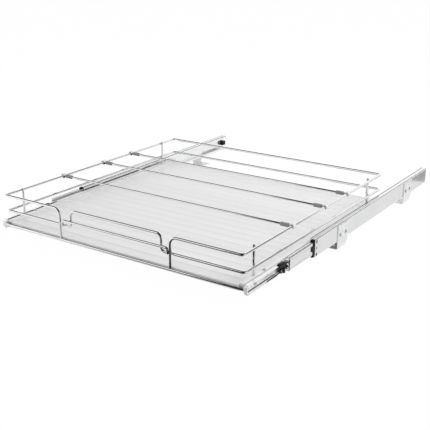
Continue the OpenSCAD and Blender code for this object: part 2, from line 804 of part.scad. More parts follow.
divider_rod(front_divider_in);  // front_divider_rod
divider_clip(-1, front_divider_in);  // front_divider_left_clip
divider_clip(1, front_divider_in);  // front_divider_right_clip
divider_rod(middle_divider_in);  // middle_divider_rod
divider_clip(-1, middle_divider_in);  // middle_divider_left_clip
divider_clip(1, middle_divider_in);  // middle_divider_right_clip
divider_rod(rear_divider_in);  // rear_divider_rod
divider_clip(-1, rear_divider_in);  // rear_divider_left_clip
divider_clip(1, rear_divider_in);  // rear_divider_right_clip
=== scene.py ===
import json
import math
import bmesh
import bpy
import numpy as np
from mathutils import Matrix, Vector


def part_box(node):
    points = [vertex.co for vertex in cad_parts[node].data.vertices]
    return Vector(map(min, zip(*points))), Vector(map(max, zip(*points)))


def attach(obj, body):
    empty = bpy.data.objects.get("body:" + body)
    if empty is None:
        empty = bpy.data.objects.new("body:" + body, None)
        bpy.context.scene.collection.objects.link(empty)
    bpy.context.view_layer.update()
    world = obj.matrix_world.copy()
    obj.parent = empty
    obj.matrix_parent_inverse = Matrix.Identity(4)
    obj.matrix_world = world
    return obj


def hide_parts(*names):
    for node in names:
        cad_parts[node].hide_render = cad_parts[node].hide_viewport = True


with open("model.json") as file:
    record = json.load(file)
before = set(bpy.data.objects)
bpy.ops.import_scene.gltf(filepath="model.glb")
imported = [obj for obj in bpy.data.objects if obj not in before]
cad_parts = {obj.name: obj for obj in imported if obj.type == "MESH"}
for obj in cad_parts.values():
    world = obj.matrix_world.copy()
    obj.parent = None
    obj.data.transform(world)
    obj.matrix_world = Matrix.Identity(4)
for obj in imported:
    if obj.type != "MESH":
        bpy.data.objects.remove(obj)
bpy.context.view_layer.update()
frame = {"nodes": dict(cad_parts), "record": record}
nodes = frame["nodes"]
bodyOf = {node: body for body, members in frame["record"]["behaviour"]["bodies"].items()
          for node in members}
slotOf = {row["node"]: row["material_slot"] for row in frame["record"]["subparts"]}
mm = 0.001
sides = {"left": -1, "right": 1}
print("frame loaded,", len(nodes), "nodes")


def linear(hexColour):
    # sRGB hex to linear light: a line near black, a power of 2.4 above it
    parts = np.array([int(hexColour[i:i + 2], 16) for i in (1, 3, 5)]) / 255
    parts = np.where(parts <= 0.04045, parts / 12.92, ((parts + 0.055) / 1.055) ** 2.4)
    return (*parts.tolist(), 1.0)


def addNode(tree, kind, values=None, links=None, **settings):
    # one node with its settings, the values of its sockets and the links into them
    node = tree.nodes.new(kind)
    for key, value in settings.items():
        setattr(node, key, value)
    for socket, value in (values or {}).items():
        node.inputs[socket].default_value = value
    for socket, output in (links or {}).items():
        tree.links.new(output, node.inputs[socket])
    return node


def corners(node):
    # the low and the high corner of a node's box
    low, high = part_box(node)
    return np.array(low), np.array(high)


def unit(vector):
    return vector / np.linalg.norm(vector)


def quarterTurn(count):
    # angles from 0 to a right angle
    return np.linspace(0, math.pi / 2, count)


def bareMaterial(name):
    # a material with an empty tree
    material = bpy.data.materials.new(name)
    material.use_nodes = True
    material.node_tree.nodes.clear()
    return material, material.node_tree


def pattern(tree, place, sizeMm, detail=3, stretch=(1, 1, 1), cells=False):
    # noise whose lumps are about sizeMm across and drawn out along an axis by stretch, or flat cells of
    # that size with a random shade each
    scaled = addNode(tree, "ShaderNodeMapping", {"Scale": [1 / (sizeMm * mm * s) for s in stretch]},
                     {"Vector": place}, vector_type="POINT")
    if cells:
        patch = addNode(tree, "ShaderNodeTexVoronoi", {"Scale": 1.0}, {"Vector": scaled.outputs[0]})
        return addNode(tree, "ShaderNodeSeparateColor", links={0: patch.outputs["Color"]}).outputs[0]
    lumps = {"Scale": 1.0, "Detail": detail, "Roughness": 0.55}
    return addNode(tree, "ShaderNodeTexNoise", lumps, {"Vector": scaled.outputs[0]}).outputs["Fac"]


def finished(name, look):
    # clouds between two shades, a roughness that wanders between two limits, and a grain in relief. Each
    # pattern lies on the piece's own coordinates and is sized in millimetres
    material, tree = bareMaterial(name)
    place = addNode(tree, "ShaderNodeTexCoord").outputs["Object"]
    shader = addNode(tree, "ShaderNodeBsdfPrincipled", {
        "Base Color": linear(look["colour"]), "Metallic": look["metallic"],
        "Roughness": look["roughness"], **look.get("sockets", {})})
    addNode(tree, "ShaderNodeOutputMaterial", links={"Surface": shader.outputs["BSDF"]})
    dark, light = look["shades"]
    mix = addNode(tree, "ShaderNodeMix", {6: linear(dark), 7: linear(light)},
                  {0: pattern(tree, place, **look["clouds"])}, data_type="RGBA")
    tree.links.new(mix.outputs[2], shader.inputs["Base Color"])
    if "sheen" in look:
        low, high = look["sheen"]  # for noise of 0.25 and of 0.75, which it seldom passes
        limits = {"From Min": 0.25, "From Max": 0.75, "To Min": low, "To Max": high}
        sheen = addNode(tree, "ShaderNodeMapRange", limits,
                        {"Value": pattern(tree, place, **look["smears"])})
        tree.links.new(sheen.outputs["Result"], shader.inputs["Roughness"])
    if "grain" in look:
        relief = addNode(tree, "ShaderNodeBump", {"Distance": look["depthMm"] * mm},
                         {"Height": pattern(tree, place, **look["grain"])})
        tree.links.new(relief.outputs["Normal"], shader.inputs["Normal"])
    return material


def chromed(name):
    # decorative chrome over nickel on drawn steel: a clear mirror with a faint haze from the drawing die
    return finished(name, {
        "colour": "#F7F7F7", "metallic": 1.0, "roughness": 0.08,
        "shades": ("#E8E9E9", "#F7F7F7"), "clouds": {"sizeMm": 18},
        "sheen": (0.05, 0.11), "smears": {"sizeMm": 18},
        "grain": {"sizeMm": 0.7}, "depthMm": 0.004})


def zincSlide(name, metallic):
    # bright zinc on cold-rolled strip: silver, with soft streaks left by the rolls along the slide
    streaks = {"sizeMm": 0.9, "detail": 4, "stretch": (1, 90, 1)}
    return finished(name, {
        "colour": "#F6F6F6", "metallic": metallic, "roughness": 0.2,
        "shades": ("#E8E9E9", "#F6F6F6"), "clouds": {"sizeMm": 35},
        "sheen": (0.17, 0.27), "smears": streaks,
        "grain": streaks, "depthMm": 0.006})


def zincBracket():
    # bright zinc on pressed sheet: a little duller, with faint crystal patches
    return finished("zinc_plated_pressed_steel", {
        "colour": "#ECECEC", "metallic": 0.5, "roughness": 0.4,
        "shades": ("#DEDFDF", "#ECECEC"), "clouds": {"sizeMm": 5, "cells": True},
        "sheen": (0.30, 0.42), "smears": {"sizeMm": 12},
        "grain": {"sizeMm": 0.8}, "depthMm": 0.006})


def zincFastener():
    # barrel-plated small parts: mid grey metal with tumbling dents
    return finished("barrel_plated_steel", {
        "colour": "#BCBEBF", "metallic": 1.0, "roughness": 0.28,
        "shades": ("#A7A9AA", "#D0D2D3"), "clouds": {"sizeMm": 2.5},
        "grain": {"sizeMm": 0.6}, "depthMm": 0.01})


def satinTray():
    # silver-grey lacquer on embossed sheet: soft sheen, almost no texture, slightly cloudy
    return finished("satin_silver_lacquer", {
        "colour": "#ECECEC", "metallic": 0.25, "roughness": 0.42,
        "shades": ("#E4E4E4", "#ECECEC"), "clouds": {"sizeMm": 60},
        "sheen": (0.38, 0.48), "smears": {"sizeMm": 60},
        "grain": {"sizeMm": 0.5}, "depthMm": 0.004})


def blackAcetal():
    # injection-moulded acetal: near black, waxy sheen, fine spark-eroded skin
    return finished("moulded_black_acetal", {
        "colour": "#0B0B0C", "metallic": 0.0, "roughness": 0.42, "sockets": {"Specular IOR Level": 0.2},
        "shades": ("#080809", "#101011"), "clouds": {"sizeMm": 6},
        "sheen": (0.36, 0.52), "smears": {"sizeMm": 3},
        "grain": {"sizeMm": 0.35, "detail": 2}, "depthMm": 0.012})


def greyPolyamide():
    # moulded polyamide: mid grey, semi-gloss, fine even skin
    return finished("moulded_grey_polyamide", {
        "colour": "#8A8A8B", "metallic": 0.0, "roughness": 0.33, "sockets": {"IOR": 1.53},
        "shades": ("#818182", "#949495"), "clouds": {"sizeMm": 5},
        "sheen": (0.27, 0.42), "smears": {"sizeMm": 2.5},
        "grain": {"sizeMm": 0.4, "detail": 2}, "depthMm": 0.008})


def ringPaintedHighlight():
    # the clip's ring, the sleeve's grey polyamide painted pale as a highlight: off-white, slightly waxy,
    # with faint flow clouds
    return finished("polyamide_painted_highlight", {
        "colour": "#D6D7D7", "metallic": 0.0, "roughness": 0.36, "sockets": {"IOR": 1.53},
        "shades": ("#CBCCCC", "#E0E1E1"), "clouds": {"sizeMm": 4},
        "sheen": (0.30, 0.44), "smears": {"sizeMm": 2.5},
        "grain": {"sizeMm": 0.4, "detail": 2}, "depthMm": 0.006})


def greyCage():
    # pressed and phosphated strip with an oil film: dark satin grey
    return finished("phosphated_cage_strip", {
        "colour": "#6E7174", "metallic": 0.8, "roughness": 0.38,
        "shades": ("#5C5F62", "#7E8184"), "clouds": {"sizeMm": 4},
        "grain": {"sizeMm": 0.8}, "depthMm": 0.006})


def bearingSteel():
    # through-hardened and polished balls: a darker mirror under a film of grease
    return finished("polished_bearing_steel", {
        "colour": "#B4B7BA", "metallic": 1.0, "roughness": 0.1,
        "shades": ("#A3A6A9", "#C4C7CA"), "clouds": {"sizeMm": 2},
        "grain": {"sizeMm": 1.5}, "depthMm": 0.003})


def paintedShadeEdge():
    # painted shade and painted reflection along a bent or cut edge of plated strip: nearly black, with
    # little gloss
    return finished("painted_shade_strip", {
        "colour": "#0C0C0C", "metallic": 0.0, "roughness": 0.45, "sockets": {"Specular IOR Level": 0.2},
        "shades": ("#080808", "#121212"), "clouds": {"sizeMm": 6}})


materials = {
    "chrome_wire": chromed("chrome_plated_wire"), "spring_chrome": chromed("chromed_spring_strip"),
    "zinc_steel": zincSlide("zinc_plated_rolled_steel", 0.88),
    "zinc_satin": zincSlide("satin_zinc_rolled_steel", 0.3),
    "zinc_bracket": zincBracket(), "fastener_zinc": zincFastener(), "tray_satin": satinTray(),
    "black_plastic": blackAcetal(), "clip_grey": greyPolyamide(), "clip_pale": ringPaintedHighlight(),
    "cage_plastic": greyCage(), "bearing_steel": bearingSteel(), "painted_shade_edge": paintedShadeEdge(),
}
for name, thing in nodes.items():
    thing.data.materials.clear()
    thing.data.materials.append(materials[slotOf[name]])
print("materials made:", len(materials))


def gridFaces(rows, columns, wrap=False, keep=None):
    # quads between neighbouring rows and columns of a grid of points; wrap joins the last column to
    # the first
    row, column = np.meshgrid(np.arange(rows - 1), np.arange(columns - (not wrap)), indexing="ij")
    after = (column + 1) % columns
    quads = np.stack([row * columns + column, row * columns + after,
                      (row + 1) * columns + after, (row + 1) * columns + column], -1)
    return quads.reshape(-1, 4) if keep is None else quads[keep].reshape(-1, 4)


def join(parts):
    # several (points, faces) as one
    points, faces, start = [], [], 0
    for partPoints, partFaces in parts:
        points.append(partPoints.reshape(-1, 3))
        faces.append(partFaces + start)
        start += len(points[-1])
    return np.concatenate(points), np.concatenate(faces)


# what counts as one point, as flat and as a sharp edge, and the rounding of the CAD's own edges
meshRules = {"weldMm": 0.001, "cadWeldMm": 0.002, "flatDegrees": 0.5, "sharpDegrees": 50,
             "cadSharpDegrees": 35, "bevelDegrees": 40, "bevelSteps": 2}


def makePiece(name, parts, slot, body, replaced=()):
    # one mesh of quads from whole arrays, its doubles merged and its loose points dropped
    points, faces = join(parts)
    mesh = bpy.data.meshes.new(name)
    mesh.vertices.add(len(points))
    mesh.vertices.foreach_set("co", points.astype(np.float32).ravel())
    mesh.loops.add(faces.size)
    mesh.loops.foreach_set("vertex_index", faces.astype(np.int32).ravel())
    mesh.polygons.add(len(faces))
    mesh.polygons.foreach_set("loop_start", np.arange(0, faces.size, 4, dtype=np.int32))
    mesh.update(calc_edges=True)
    form = bmesh.new()
    form.from_mesh(mesh)
    # closes seams and poles
    bmesh.ops.remove_doubles(form, verts=form.verts, dist=meshRules["weldMm"] * mm)
    bmesh.ops.delete(form, geom=[v for v in form.verts if not v.link_faces], context="VERTS")
    form.to_mesh(mesh)
    form.free()
    return finishPiece(name, mesh, slot, body, replaced, meshRules["sharpDegrees"])


def finishPiece(name, mesh, slot, body, replaced, sharpDegrees):
    # smooth faces with an edge only where they turn sharply, the finish that the slot names, and the
    # piece's body
    mesh.polygons.foreach_set("use_smooth", np.ones(len(mesh.polygons), bool))
    mesh.set_sharp_from_angle(angle=math.radians(sharpDegrees))
    mesh.materials.clear()
    mesh.materials.append(materials[slot])
    piece = bpy.data.objects.new(name, mesh)
    bpy.context.scene.collection.objects.link(piece)
    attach(piece, body)
    if replaced:
        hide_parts(*replaced)
    return piece


def dressed(node, edgeMm, slot=None):
    # a merged copy of a CAD node, its flat faces joined up and its edges rounded
    mesh = nodes[node].data.copy()
    form = bmesh.new()
    form.from_mesh(mesh)
    bmesh.ops.remove_doubles(form, verts=form.verts, dist=meshRules["cadWeldMm"] * mm)
    bmesh.ops.dissolve_limit(form, angle_limit=math.radians(meshRules["flatDegrees"]),
                             verts=form.verts, edges=form.edges)
    form.to_mesh(mesh)
    form.free()
    piece = finishPiece(node + "_skin", mesh, slot or slotOf[node], bodyOf[node], (node,),
                        meshRules["cadSharpDegrees"])
    edges = piece.modifiers.new("rounded_edges", "BEVEL")
    edges.width = edgeMm * mm
    edges.segments = meshRules["bevelSteps"]
    edges.limit_method = "ANGLE"
    edges.angle_limit = math.radians(meshRules["bevelDegrees"])
    edges.use_clamp_overlap = True


def roundedPath(turns, radii, arcSteps=12):
    # straight runs joined by circular arcs: stations, and the direction of travel at each
    turns = np.array(turns, float)
    stations, headings = [turns[:1]], [unit(turns[1] - turns[0])[None]]
    for i in range(1, len(turns) - 1):
        before, after = unit(turns[i] - turns[i - 1]), unit(turns[i + 1] - turns[i])
        turn = math.acos(before @ after)
        start = turns[i] - before * radii[i] * math.tan(turn / 2)
        inward = unit(after - before * (before @ after))
        angle = np.linspace(0, turn, arcSteps + 1)[:, None]
        stations.append(start + radii[i] * (before * np.sin(angle) + inward * (1 - np.cos(angle))))
        headings.append(before * np.cos(angle) + inward * np.sin(angle))
    stations.append(turns[-1:])
    headings.append(unit(turns[-1] - turns[-2])[None])
    return np.concatenate(stations), np.concatenate(headings)


def carriedFrames(headings):
    # a side vector carried along the path without twist: at each step it is reflected so that it
    # stays square
    side = unit(np.cross(headings[0], [0.37, 0.21, 0.9]))  # a slant that no wire starts along
    carried = [side]
    for before, after in zip(headings[:-1], headings[1:]):
        axis = before + after
        side = side - 2 * axis * (axis @ side) / (axis @ axis)
        side = -side if side @ carried[-1] < 0 else side
        side = unit(side - after * (after @ side))
        carried.append(side)
    carried = np.array(carried)
    return carried, np.cross(headings, carried)


def heldEnds(vectors, count):
    # the first and the last vector repeated, for the extra rings of rounded ends
    return np.concatenate([np.repeat(vectors[:1], count, 0), vectors[1:-1],
                           np.repeat(vectors[-1:], count, 0)])


def wire(turns, radii, radius, endMm=None, sidesRound=28):
    # a circle carried along the path. With endMm its radius closes to a point at each end over a rounded
    # edge of that size; without it the path comes back to its start
    stations, headings = roundedPath(turns, radii)
    side, up = carriedFrames(headings)
    size = np.full(len(stations), radius)
    if endMm:
        edge, bow = endMm * mm, quarterTurn(5)
        inset = np.concatenate([[0], edge * (1 - np.cos(bow))])
        shrunk = np.concatenate([[0], radius - edge + edge * np.sin(bow)])
        first = stations[0] + headings[0] * inset[:, None]
        last = stations[-1] - headings[-1] * inset[::-1, None]
        stations = np.concatenate([first, stations[1:-1], last])
        size = np.concatenate([shrunk, size[1:-1], shrunk[::-1]])
        side, up = (heldEnds(v, len(inset)) for v in (side, up))
    angle = np.linspace(0, 2 * math.pi, sidesRound, endpoint=False)
    ring = side[:, None] * np.cos(angle)[None, :, None] + up[:, None] * np.sin(angle)[None, :, None]
    points = stations[:, None] + ring * size[:, None, None]
    return points, gridFaces(len(stations), sidesRound, wrap=True)


def turned(profile, centre, axis, sidesRound=32):
    # a profile of (radius, height) turned about an axis through centre
    axis = unit(np.array(axis, float))
    side = unit(np.cross(axis, [0.31, 0.93, 0.17]))  # a slant that no axis has
    up = np.cross(axis, side)
    angle = np.linspace(0, 2 * math.pi, sidesRound, endpoint=False)
    ring = side * np.cos(angle)[:, None] + up * np.sin(angle)[:, None]
    radius, height = np.array(profile, float).T
    points = centre + ring[None] * radius[:, None, None] + axis * height[:, None, None]
    return points, gridFaces(len(radius), sidesRound, wrap=True)


def loft(stations, side, up, halfSide, halfUp, roundMm, edgeMm=0.4, sidesRound=20):
    # a rounded rectangle carried along a path and standing on its side and up vectors. Its half widths
    # are given at each station, and over a small rounded edge it closes to a point at both ends
    stations = np.array(stations, float) * mm
    count = len(stations)
    side, up = (np.broadcast_to(np.array(v, float), (count, 3)) for v in (side, up))
    leftHanded = np.dot(np.cross(side[0], up[0]), stations[1] - stations[0]) < 0
    halves = np.stack([np.broadcast_to(h, count) for h in (halfSide, halfUp)], 1) * mm
    edge, bow = edgeMm * mm, quarterTurn(4)
    inset, shrink = edge * (1 - np.cos(bow)), edge * (1 - np.sin(bow))
    ends = []
    for near, beyond in ((0, 1), (-1, -2)):
        inward = unit(stations[beyond] - stations[near])
        ends.append((stations[near] + inward * np.append(0, inset)[:, None],
                     np.concatenate([[[0, 0]], halves[near] - shrink[:, None]])))
    stations = np.concatenate([ends[0][0], stations[1:-1], ends[1][0][::-1]])
    halves = np.concatenate([ends[0][1], halves[1:-1], ends[1][1][::-1]])
    side, up = (heldEnds(v, len(bow) + 1) for v in (side, up))
    corner = np.minimum(halves.min(1), roundMm * mm)[:, None]
    angle = (np.arange(sidesRound) + 0.5) * 2 * math.pi / sidesRound
    across = np.sign(np.cos(angle)) * (halves[:, :1] - corner) + corner * np.cos(angle)
    above = np.sign(np.sin(angle)) * (halves[:, 1:] - corner) + corner * np.sin(angle)
    points = stations[:, None] + across[..., None] * side[:, None] + above[..., None] * up[:, None]
    faces = gridFaces(len(stations), sidesRound, wrap=True)
    return points, faces[:, ::-1] if leftHanded else faces


def onSide(parts, sign):
    # right-hand parts as they are, or mirrored with their faces turned round for the left side
    if sign > 0:
        return parts
    return [(points * (-1, 1, 1), faces[:, ::-1]) for points, faces in parts]


basketWires = {
    "topCornerMm": 5, "postMm": 13, "humpTopMm": 10, "humpFootMm": 7.5, "barMm": 5,  # bend radii
    "humpXMm": 102, "postXMm": 124,  # half the width of the raised stretch, and between the posts
    "postEndMm": 0.2, "barEndMm": 0.9, "rodEndMm": 0.8,  # rounding of the cut ends
}
wireRadius = (corners("left_front_post")[1] - corners("left_front_post")[0])[0] / 2


def topRail():
    # one wire: up the left front post, round the basket and down the right front post
    low, high = corners("top_rail_wire")
    x, z, foot = high[0] - wireRadius, high[2] - wireRadius, low[2]
    front, rear, postX = low[1] + wireRadius, high[1] - wireRadius, basketWires["postXMm"] * mm
    post, corner = basketWires["postMm"] * mm, basketWires["topCornerMm"] * mm
    path = [(-postX, front, foot), (-postX, front, z), (-x, front, z), (-x, rear, z),
            (x, rear, z), (x, front, z), (postX, front, z), (postX, front, foot)]
    radii = [0, post, corner, corner, corner, corner, post, 0]
    return wire(path, radii, wireRadius, basketWires["postEndMm"])


def middleRail():
    # a closed loop from the middle of the rear, with its front stretch raised between the posts
    low, high = corners("middle_rail_wire")
    x, front, rear = high[0] - wireRadius, low[1] + wireRadius, high[1] - wireRadius
    lowZ, highZ, humpX = low[2] + wireRadius, high[2] - wireRadius, basketWires["humpXMm"] * mm
    corner, foot, top = (basketWires[k] * mm for k in ("topCornerMm", "humpFootMm", "humpTopMm"))
    path = [(0, rear, lowZ), (-x, rear, lowZ), (-x, front, lowZ), (-humpX, front, lowZ),
            (-humpX, front, highZ), (humpX, front, highZ), (humpX, front, lowZ), (x, front, lowZ),
            (x, rear, lowZ), (0, rear, lowZ)]
    radii = [0, corner, corner, foot, top, top, foot, corner, corner, 0]
    return wire(path, radii, wireRadius)


def frontBar():
    # a short bar with both ends bent down
    low, high = corners("front_bar_wire")
    x, y, z = high[0] - wireRadius, (low[1] + high[1]) / 2, high[2] - wireRadius
    bend = basketWires["barMm"] * mm
    path = [(-x, y, low[2]), (-x, y, z), (x, y, z), (x, y, low[2])]
    return wire(path, [0, bend, bend, 0], wireRadius, basketWires["barEndMm"])


def straightWire(node):
    # a straight round bar between the far faces of the node's box, along its longest side
    low, high = corners(node)
    axis = int(np.argmax(high - low))
    radius = np.delete(high - low, axis).min() / 2
    middle = (low + high) / 2
    start, end = middle.copy(), middle.copy()
    start[axis], end[axis] = low[axis], high[axis]
    return wire([start, end], [0, 0], radius, basketWires["rodEndMm"])


makePiece("top_rail", [topRail()], "chrome_wire", "basket", ("top_rail_wire",))
makePiece("middle_rail", [middleRail()], "chrome_wire", "basket", ("middle_rail_wire",))
makePiece("front_bar", [frontBar()], "chrome_wire", "basket", ("front_bar_wire",))
for node in ("bottom_front_wire", "left_front_post", "left_rear_post", "right_front_post",
             "right_rear_post", "front_divider_rod", "middle_divider_rod", "rear_divider_rod"):
    makePiece(node + "_bright", [straightWire(node)], "chrome_wire", bodyOf[node], (node,))
print("wires made")


tray = {
    "sheetMm": 1.0, "bendMm": 1.2,
    "rows": 260, "columns": 9,  # the floor's grid, with as many columns again where the ribs fade
    "rimMm": 11, "stepMm": 5,  # width of the rim, and its height over the floor
    "lipMm": 9, "lipInMm": 6, "lipClearMm": 0.3,  # the folded ends, which stop short of the walls
    "gapMm": 2.2, "jogMm": 9, "jogDropMm": 2,  # the wall hangs clear of the slide, then steps out to it
    "ribPitchMm": 25, "ribMm": 12, "riseMm": 0.8,
    "fadeMm": (17, 5),  # where a rib starts to die out and where it is gone, from the step
    "slotXMm": (258.5, 261.5), "slotYMm": (-97.5, -79.5, -74.5, -71.5),  # Y from the rear end
}


def flatLine(turns, radii):
    # the same rounded run, drawn in a plane
    return roundedPath([(a, b, 0) for a, b in turns], radii, arcSteps=5)[0][:, :2]


def traySheet():
    # the middle surface of one folded sheet: a section across (floor, step, rim, wall) drawn along Y,
    # with a lip folded down at both ends. On the floor each rib is a raised cosine along Y that dies
    # out before the step
    low, high = corners("tray")
    half, bend = tray["sheetMm"] * mm / 2, tray["bendMm"] * mm
    wallX, rimZ = high[0] - half, high[2] - half
    stepX, floorZ = high[0] - (tray["rimMm"] - tray["sheetMm"] / 2) * mm, rimZ - tray["stepMm"] * mm
    fade = stepX - np.array(tray["fadeMm"]) * mm
    slotX, slotY = np.array(tray["slotXMm"]) * mm, high[1] + np.array(tray["slotYMm"]) * mm
    spans = ((0, fade[0]), fade)
    floorX = np.concatenate([np.linspace(*span, tray["columns"])[:-1] for span in spans])
    rise = flatLine([(fade[1], floorZ), (stepX, floorZ), (stepX, rimZ), (slotX[0], rimZ)],
                    [0, bend, bend, 0])
    nearX, jogZ = wallX - tray["gapMm"] * mm, rimZ - tray["jogMm"] * mm
    fall = flatLine([(slotX[1], rimZ), (nearX, rimZ), (nearX, jogZ),
                     (wallX, jogZ - tray["jogDropMm"] * mm), (wallX, low[2])], [0, bend, bend, bend, 0])
    section = np.concatenate([np.stack([floorX, np.full(len(floorX), floorZ)], 1), rise, fall])
    x, z = np.concatenate([section[:0:-1] * (-1, 1), section]).T

    lipZ = high[2] - (tray["stepMm"] + tray["lipMm"]) * mm - floorZ
    ends = [flatLine([(y, lipZ), (y, 0), (y + inward * tray["lipInMm"] * mm, 0)], [0, bend, 0])
            for y, inward in ((low[1] + half, 1), (high[1] - half, -1))]
    between = np.union1d(np.linspace(ends[0][-1, 0], ends[1][-1, 0], tray["rows"])[1:-1], slotY)
    y, drop = np.concatenate([ends[0], np.stack([between, 0 * between], 1), ends[1][::-1]]).T

    pitch = tray["ribPitchMm"] * mm
    count = int((high[1] - low[1]) / pitch) - 1
    first = (low[1] + high[1] - (count - 1) * pitch) / 2
    nearest = first + np.clip(np.round((y - first) / pitch), 0, count - 1) * pitch
    phase = np.clip(abs(y - nearest) / (tray["ribMm"] * mm / 2), 0, 1)
    rib = tray["riseMm"] * mm * (1 + np.cos(math.pi * phase)) / 2
    share = np.clip((fade[1] - abs(x)) / (fade[1] - fade[0]), 0, 1)

    points = np.zeros((len(y), len(x), 3))
    points[..., 0] = x
    points[..., 1] = y[:, None]
    points[..., 2] = z + drop[:, None] + rib[:, None] * share * share * (3 - 2 * share)
    middleX, middleY = abs(x[:-1] + x[1:]) / 2, (y[:-1] + y[1:]) / 2
    lipRows = (np.minimum(drop[:-1], drop[1:]) < -meshRules["weldMm"] * mm)[:, None]
    pastLip = middleX > nearX - tray["lipClearMm"] * mm
    slotRows = (np.searchsorted(slotY, middleY) % 2 == 1)[:, None]  # a slot and a small hole behind it
    slotColumn = (middleX > slotX[0]) & (middleX < slotX[1])
    return points, gridFaces(len(y), len(x), keep=~(lipRows & pastLip | slotRows & slotColumn))


sheet = makePiece("folded_tray", [traySheet()], "tray_satin", "basket", ("tray",))
thick = sheet.modifiers.new("sheet_thickness", "SOLIDIFY")
thick.thickness, thick.offset, thick.use_even_offset = tray["sheetMm"] * mm, 0, True
print("tray made")


# thin near-black bars along the slides: painted shade and painted reflection along their gaps and bent
# edges.
# The halves are half a width and half a height, and the ends are four stations along Y, two from the
# front and two from the rear of what the line lies on
darkLines = {
    "sheetMm": 1.2,  # thickness of the basket member, in whose bend the painted shade line lies
    "bend_shade": {"halves": (0.55, 0.55), "endsMm": (2.2, 4, -4, -1), "roundMm": 0.2},
    "edges": {"halves": (0.3, 0.3), "endsMm": (0.5, 2, -2, -0.5), "roundMm": 0.1},
    "edgesInMm": (0.5, 1.1), "edgesUpMm": 0.05,  # from the flange's outer and inner side, and its top
    "rim": {"halves": (0.25, 0.85), "endsMm": (1, 3, 2, 4), "roundMm": 0.2},
    "rimInMm": 0.35, "rimDownMm": 0.2,
}


def darkLine(kind, x, z, front, rear):
    # a thin bar along Y, with a station a little inside each end
    line = darkLines[kind]
    stations = [(x, y + end, z) for y, end in zip((front, front, rear, rear), line["endsMm"])]
    return loft(stations, (1, 0, 0), (0, 0, 1), *line["halves"], line["roundMm"], line["roundMm"])


def bendShadeLine():
    # painted shade and painted reflection where the web bends into the lower flange, a dark line from
    # the front tab to the catch
    low, catchFront = corners("right_basket_rail")[0] / mm, corners("right_catch_block")[0][1] / mm
    inBend = darkLines["sheetMm"] + darkLines["bend_shade"]["halves"][0]
    return darkLine("bend_shade", low[0] + inBend, low[2] + inBend, low[1], catchFront)


def bentEdgeReflections(node):
    # painted reflection: the two thin dark lines that the bent edges of a member's upper flange show
    # along its whole length, drawn as near-black bars
    low, high = (c / mm for c in corners(node))
    outer, inner = darkLines["edgesInMm"]
    z = high[2] + darkLines["edgesUpMm"]
    return [darkLine("edges", x, z, low[1], high[1]) for x in (high[0] - outer, low[0] + inner)]


def rimGapShade():
    # painted shade: a near-black bar in the shadowed gap between the left slide and the rim; the right
    # one faces away
    low, high = (c / mm for c in corners("tray"))
    rear = corners("left_middle_rail")[0][1] / mm
    x, z = high[0] - darkLines["rimInMm"], high[2] - darkLines["rimDownMm"]
    return darkLine("rim", x, z, low[1], rear)


# painted shade and painted reflection: near-black bars on the basket and on the slide members
for side, sign in sides.items():
    makePiece(f"{side}_bend_shade_line", onSide([bendShadeLine()], sign), "painted_shade_edge", "basket")
for side, sign in sides.items():
    for member, body in (("cabinet", "cabinet_side"), ("middle", f"{side}_middle")):
        makePiece(f"{side}_{member}_edges", onSide(bentEdgeReflections(f"right_{member}_rail"), sign),
                  "painted_shade_edge", body)
makePiece("left_rim_gap_shade", onSide([rimGapShade()], -1), "painted_shade_edge", "basket")
print("dark lines made")


# tongue and hook are placed from the ring's own axis
clip = {
    "sleeveR": 3.75, "tipR": 3.7, "tipRoundMm": 0.5, "gripMm": 3,  # full width is reached after the grip
    "neckR": 2.2, "neckMm": 2.6, "shoulderMm": 0.7,
    "ringR": 3.67, "ringHalves": (1.15, 4.2), "slitDegrees": 62, "ringSteps": 33, "ringRoundMm": 0.6,
    "tongueXMm": (-8.6, -6, -3.6), "tongueZMm": (0, 0, -0.2), "tongueThick": (1.9, 2.1, 1.6),
    "tongueHalf": 2.0, "tongueRoundMm": 0.8,
    "hookR": 3.9, "hookHalves": (1.0, 1.6), "hookDegrees": (172, 250), "hookSteps": 9, "hookYMm": -2.6,
    "hookRoundMm": 0.5, "edgeMm": 0.3,
}


def clipFrame(node):
    # the right-hand clip in millimetres: the place of its tip along X, the length of its barrel and the
    # axis of its ring, which is as wide as the clip is high
    low, high = (c / mm for c in corners(node))
    tip, ringEnd = sorted((abs(low[0]), abs(high[0])))
    ringWide = high[2] - low[2]
    barrel = ringEnd - tip - ringWide - clip["neckMm"]
    return tip, barrel, np.array((ringEnd - ringWide / 2, *(low + high)[1:] / 2))


def arcBand(axis, radius, degrees, steps, halves, roundMm):
    # a flat band carried round an axis along Y, between two angles
    angle = np.radians(np.linspace(*degrees, steps))
    outward = np.stack([np.cos(angle), 0 * angle, np.sin(angle)], 1)
    return loft(axis + radius * outward, outward, (0, 1, 0), *halves, roundMm, clip["edgeMm"])


def clipSleeve(node):
    # a sleeve turned about the rod: rounded end, nearly straight barrel, and a soft shoulder down to the
    # neck
    tip, barrel, axis = clipFrame(node)
    bow, edge, soft = quarterTurn(6), clip["tipRoundMm"], clip["shoulderMm"]
    front = np.stack([clip["tipR"] - edge + edge * np.sin(bow), edge * (1 - np.cos(bow))], 1)
    shoulder = np.stack([clip["neckR"] + (clip["sleeveR"] - clip["neckR"]) * np.cos(bow),
                         barrel - soft + soft * np.sin(bow)], 1)
    profile = np.concatenate([[[0, 0]], front, [[clip["sleeveR"], clip["gripMm"]]], shoulder,
                              [[0, barrel]]])
    return turned(profile * mm, np.array((tip, *axis[1:])) * mm, (1, 0, 0))


def clipRing(node):
    # an open ring about the top rail: a band from one lip of the slit round to the other
    degrees = (-90 + clip["slitDegrees"] / 2, 270 - clip["slitDegrees"] / 2)
    return arcBand(clipFrame(node)[2], clip["ringR"], degrees, clip["ringSteps"], clip["ringHalves"],
                   clip["ringRoundMm"])


